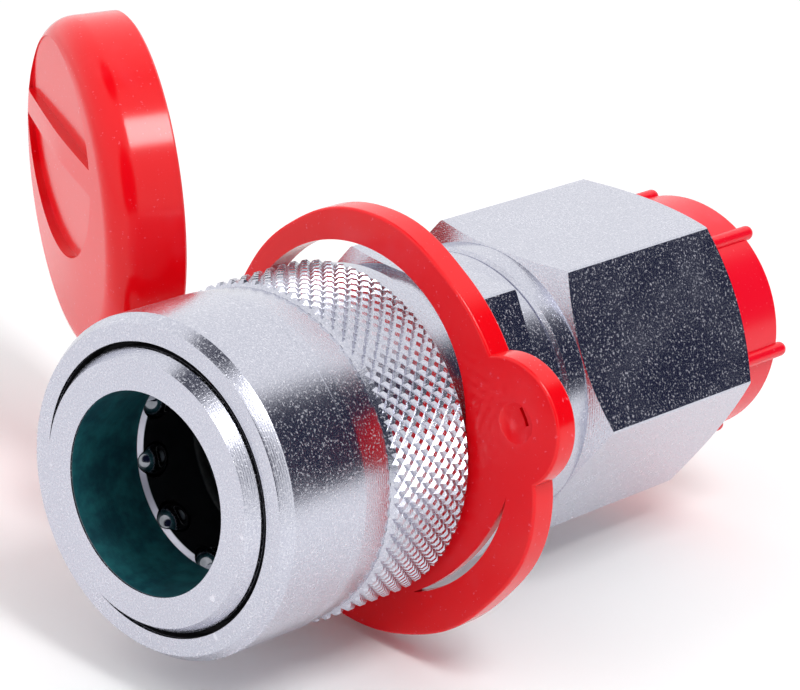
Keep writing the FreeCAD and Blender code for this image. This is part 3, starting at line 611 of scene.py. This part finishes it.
class Nodes:
    """A node tree, of a material or of the world, filled by expressions."""

    def __init__(self, tree):
        self.tree = tree

    def node(self, kind, settings, inputs, output=0):
        """Adds a node, sets it up, then fills its sockets with values or links."""
        made = self.tree.nodes.new(kind)
        for key, value in settings.items():
            setattr(made, key, value)
        for key, value in inputs.items():
            self.fill(made.inputs[key], value)
        return Amount(self, made.outputs[output])

    def fill(self, socket, value):
        if isinstance(value, Amount):
            self.tree.links.new(value.socket, socket)
        else:
            socket.default_value = value

    def place(self):
        return self.node("ShaderNodeTexCoord", {}, {}, "Object")

    def turned_place(self, here):
        """The distance along the axis and the one from the axis, in millimetres."""
        parts = self.node("ShaderNodeSeparateXYZ", {}, {0: here})
        outputs = parts.socket.node.outputs
        across, along, up = [Amount(self, outputs[i]) * (1 / MM) for i in range(3)]
        return along, (across * across + up * up) ** 0.5

    def noise(self, here, scale, detail=2.0, roughness=0.5):
        return self.node("ShaderNodeTexNoise", {}, {"Vector": here, "Scale": scale,
                                                    "Detail": detail, "Roughness": roughness})

    def mixed(self, share, first, second):
        return self.node("ShaderNodeMix", {"data_type": "RGBA"},
                         {0: share, 6: first, 7: second}, 2)

    def bumped(self, height, distance, strength=1.0):
        return self.node("ShaderNodeBump", {}, {"Height": height, "Distance": distance * MM,
                                                "Strength": strength})


class Finish(Nodes):
    """A material whose main shader is fed by amounts and colours."""

    def __init__(self, name, **constants):
        self.material = bpy.data.materials.new(name)
        self.material.use_nodes = True
        super().__init__(self.material.node_tree)
        self.shader = self.tree.nodes["Principled BSDF"]
        self.paint(**constants)

    def paint(self, **channels):
        for socket, value in channels.items():
            self.fill(self.shader.inputs[socket.replace("_", " ").title()], value)


# %% [markdown]
# The steel is zinc plated: a bright lavender grey with a fine grain of crystals, faint
# stains and short scratches. The grain is a fast noise cut to small dots, the scratches
# are a noise squeezed hard along one direction, and the turned marks are rings that
# depend on the distance along the axis. Painted shade makes the slot between the sleeve
# and the socket body near black, and the bore behind the mouth a dark teal that is nearly
# black past the ledge.

# %% Zinc plated steel
# Radii of the slots where painted shade darkens the plate.
SLEEVE_SHADED_SLOT = (15.0, 20.08)
SOCKET_SHADED_SLOT = (19.1, 30.0)
SLOT_MOUTH = 2.3
BORE_RADIUS = 13.92
BORE_LEDGE = 12.4


def zinc(name, shaded_slot_radii=None, bore=None):
    """Plated steel with painted shade: near black in the slot between two radii, and dark teal
    in the bore.
    """
    finish = Finish(name)
    here = finish.place()
    along, radius = finish.turned_place(here)
    grain = finish.noise(here, 4200, 2.0, 0.6)
    specks = finish.noise(here, 3000, 2.0, 0.6).between(0.57, 0.66)
    stain = finish.noise(here, 90, 3.0, 0.6).between(0.35, 0.75)
    stretched = finish.node("ShaderNodeMapping", {}, {"Vector": here, "Scale": (1, 9, 1),
                                                      "Rotation": (0.3, 0.8, 0.5)})
    scratches = finish.noise(stretched, 420, 2.0).between(0.70, 0.76)
    color = finish.mixed(stain, (0.70, 0.70, 0.77, 1), (0.80, 0.80, 0.87, 1))
    color = finish.mixed(grain.between(0.42, 0.62) * 0.45, (0.50, 0.51, 0.59, 1), color)
    color = finish.mixed(specks * 0.5, color, (0.80, 0.80, 0.86, 1))
    color = finish.mixed(scratches * 0.5, color, (0.88, 0.87, 0.94, 1))
    rough = 0.17 + stain * 0.06 + grain * 0.08
    metal = 1 - specks * 0.4
    # Painted shade: between the two radii, in the slot where the sleeve and the socket body
    # cover each other, the plate is painted near black.
    if shaded_slot_radii:
        low, high = shaded_slot_radii
        slot = radius.between(low, low + 0.05) * (1 - radius.between(
            high - 0.05, high)) * along.between(SLOT_MOUTH, SLOT_MOUTH + 0.3)
        color = finish.mixed(slot, color, (0.008, 0.008, 0.012, 1))
        metal = metal * (1 - slot)
        rough = rough + slot * 0.5
    # Painted shade: the bore behind the mouth is painted a mottled dark teal, nearly black
    # past the ledge, while the ledge keeps a plain plate colour.
    if bore:
        inside = (1 - radius.between(bore, bore + 0.06)) * along.between(0.15, 0.4)
        ledge = along.between(BORE_LEDGE - 0.15, BORE_LEDGE) * (1 - along.between(
            BORE_LEDGE + 0.5, BORE_LEDGE + 0.7))
        deep_bore_shade = along.between(BORE_LEDGE + 0.5, BORE_LEDGE + 0.7)
        cloud = finish.noise(here, 260, 3.0, 0.7)
        wall = finish.mixed(cloud.between(0.3, 0.75), (0.006, 0.06, 0.085, 1),
                            (0.02, 0.17, 0.19, 1))
        wall = finish.mixed(deep_bore_shade, wall, (0.006, 0.006, 0.008, 1))
        wall = finish.mixed(ledge, wall, (0.72, 0.70, 0.80, 1))
        color = finish.mixed(inside, color, wall)
        metal = metal * (1 - inside * (1 - ledge) * 0.75)
        rough = rough + inside * 0.18
    turned_marks = (along * 16.0 + radius * 13.0).sine() * 0.12
    height = grain + specks * 0.4 + turned_marks
    finish.paint(base_color=color, roughness=rough, metallic=metal,
                 normal=finish.bumped(height, 0.013, 1.0))
    return finish.material


def wear(material, *nodes):
    for node in nodes:
        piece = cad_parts[node] if isinstance(node, str) else node
        piece.data.materials.clear()
        piece.data.materials.append(material)


wear(zinc("zinc_plate"), "coupler_body", "port_adapter")
# The sleeve and the socket body take painted shade in their slot, and the socket body also in
# its bore.
wear(zinc("zinc_plate_sleeve_painted_shade", shaded_slot_radii=SLEEVE_SHADED_SLOT), sleeve)
wear(zinc("zinc_plate_socket_painted_shade", shaded_slot_radii=SOCKET_SHADED_SLOT, bore=BORE_RADIUS), "socket_body")
print("zinc plate on four pieces")

# %% [markdown]
# The red of the cap and the plug is a soft plastic, coloured all through. It has a
# low sheen, faint flow marks and, where it was trimmed or rubbed, a pale bloom. The
# bloom is a noise that turns the red towards pink, and the flow marks are a slight bump.

# %% Red moulded plastic
def red_plastic(name, red, bloom, roughness):
    finish = Finish(name, subsurface_weight=0.06, subsurface_scale=2 * MM)
    finish.shader.inputs["Subsurface Radius"].default_value = (1.0, 0.15, 0.12)
    finish.shader.inputs["Specular IOR Level"].default_value = 0.35
    here = finish.place()
    cloud = finish.noise(here, 60, 3.0, 0.6)
    dust = finish.noise(here, 1500, 2.0, 0.7).between(0.66, 0.74)
    color = finish.mixed(cloud.between(0.55, 0.85) * 0.18, red, bloom)
    color = finish.mixed(dust * 0.35, color, bloom)
    finish.paint(base_color=color, roughness=roughness + cloud * 0.06,
                 normal=finish.bumped(cloud + dust * 0.1, 0.05, 0.3))
    return finish.material


CAP_RED = (0.80, 0.002, 0.007, 1)
PLUG_RED = (0.82, 0.004, 0.020, 1)
BLOOM = (0.9, 0.20, 0.28, 1)
wear(red_plastic("cap_red", CAP_RED, BLOOM, 0.13), cap)
wear(red_plastic("plug_red", PLUG_RED, BLOOM, 0.22), "port_plug")
print("red plastic on the cap and the plug")

# %% [markdown]
# What is left is small: polished balls, black seals, a white backup ring, bare spring
# wire and the valve. Each takes one short finish with a little noise in its colour or
# gloss, because no real surface is even.

# %% Balls, seals, springs and valve
def plain(name, dark, light, scale, roughness, metallic):
    finish = Finish(name, metallic=metallic)
    cloud = finish.noise(finish.place(), scale, 3.0)
    finish.paint(base_color=finish.mixed(cloud.between(0.3, 0.7), dark, light),
                 roughness=roughness + cloud * 0.12)
    return finish.material


BALLS = [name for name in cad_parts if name.startswith("locking_ball")]
# Painted shade: the polished balls are painted far darker than polished steel, so that they
# look as dark as they do in the shaded mouth.
wear(plain("ball_steel", (0.16, 0.17, 0.19, 1), (0.26, 0.27, 0.30, 1), 700, 0.05, 1.0), *BALLS)
wear(plain("seal_rubber", (0.012, 0.012, 0.013, 1), (0.03, 0.03, 0.03, 1), 900, 0.45, 0.0),
     "interface_o_ring", "body_o_ring", "adapter_o_ring", "poppet_seal")
wear(plain("backup_white", (0.74, 0.73, 0.70, 1), (0.85, 0.84, 0.80, 1), 500, 0.4, 0.0),
     "interface_backup_ring")
wear(plain("spring_wire", (0.25, 0.25, 0.26, 1), (0.42, 0.42, 0.44, 1), 600, 0.25, 1.0),
     sleeve_coil, valve_coil)
wear(plain("valve_steel", (0.30, 0.32, 0.33, 1), (0.42, 0.44, 0.46, 1), 600, 0.25, 1.0),
     "poppet", "valve_guide")
print("finishes on", len(BALLS), "balls, seals, springs and valve")

# %% [markdown]
# The studio is a white room: a plain floor, a white world and one soft window lamp. A
# plated surface shows what stands round it, so the world holds three dark patches, as a
# dark wall, a ceiling and the camera's side would, and the steel picks up navy bands.

# %% Floor, world and lamp
FLOOR_LEVEL = CAD_BOX[0][2]
FLOOR_SIZE = 3.0
FLOOR_GAP = 0.0002
start_fresh()
bpy.ops.mesh.primitive_plane_add(size=FLOOR_SIZE, location=(0, 0, FLOOR_LEVEL - FLOOR_GAP))
floor = settle("studio_floor")
paper = Finish("paper_white", roughness=0.9)
paper.paint(base_color=paper.mixed(paper.noise(paper.place(), 3.0), (0.93, 0.93, 0.93, 1),
                                   (0.96, 0.96, 0.96, 1)))
wear(paper.material, floor)

ROOM_BRIGHTNESS = 1.15
NAVY = (0.010, 0.013, 0.04, 1)
DARK_PATCHES = [
    (Vector((0.62, 0.72, 0.32)), 0.82, 0.93),
    (Vector((-0.15, -0.12, 0.98)), 0.94, 0.98),
    (Vector((0.62, -0.72, 0.30)), 0.86, 0.94),
]
world = bpy.data.worlds.new("white_room")
bpy.context.scene.world = world
world.use_nodes = True
room = Nodes(world.node_tree)
background = room.tree.nodes["Background"]
direction = room.node("ShaderNodeTexCoord", {}, {}, "Generated")
seen = room.node("ShaderNodeLightPath", {}, {}, "Is Camera Ray")
wall = (1, 1, 1, 1)
for middle, edge, full in DARK_PATCHES:
    facing = room.node("ShaderNodeVectorMath", {"operation": "DOT_PRODUCT"},
                       {0: direction, 1: middle.normalized()}, "Value")
    wall = room.mixed(facing.between(edge, full) * (1 - seen), wall, NAVY)
room.fill(background.inputs["Color"], wall)
background.inputs["Strength"].default_value = ROOM_BRIGHTNESS

LAMP_DIRECTION = Vector((0.56, -0.14, 0.82))
LAMP_DISTANCE = 0.7
lamp = bpy.data.lights.new("window", "AREA")
lamp.shape = "RECTANGLE"
lamp.size, lamp.size_y = 0.17, 0.22
lamp.energy = 2.0
window = bpy.data.objects.new("window", lamp)
bpy.context.collection.objects.link(window)
window.location = CAP_PLACE + LAMP_DIRECTION * LAMP_DISTANCE
window.rotation_euler = LAMP_DIRECTION.to_track_quat("Z", "Y").to_euler()
print("studio with floor at", round(FLOOR_LEVEL / MM, 2), "mm")

# %% [markdown]
# The photograph looks down on the mouth from the right, with the axis running away to
# the upper right. The camera's three directions and its place were solved from points
# of the hexagons and the mouth whose real places the CAD gives.

# %% Camera
CAMERA_PLACE = (0.29961, -0.31784, 0.20115)
forward = Vector((-0.5869, 0.7177, -0.3748)).normalized()
right = Vector((0.7411, 0.6626, 0.1084))
right = (right - forward * right.dot(forward)).normalized()
up = right.cross(forward)
lens = bpy.data.cameras.new("camera")
lens.sensor_width = 36
lens.lens = 166.0
camera = bpy.data.objects.new("camera", lens)
bpy.context.collection.objects.link(camera)
camera.matrix_world = (Matrix.Translation(CAMERA_PLACE)
                       @ Matrix((right, up, -forward)).transposed().to_4x4())
bpy.context.scene.camera = camera
bpy.context.scene.view_settings.view_transform = "Standard"
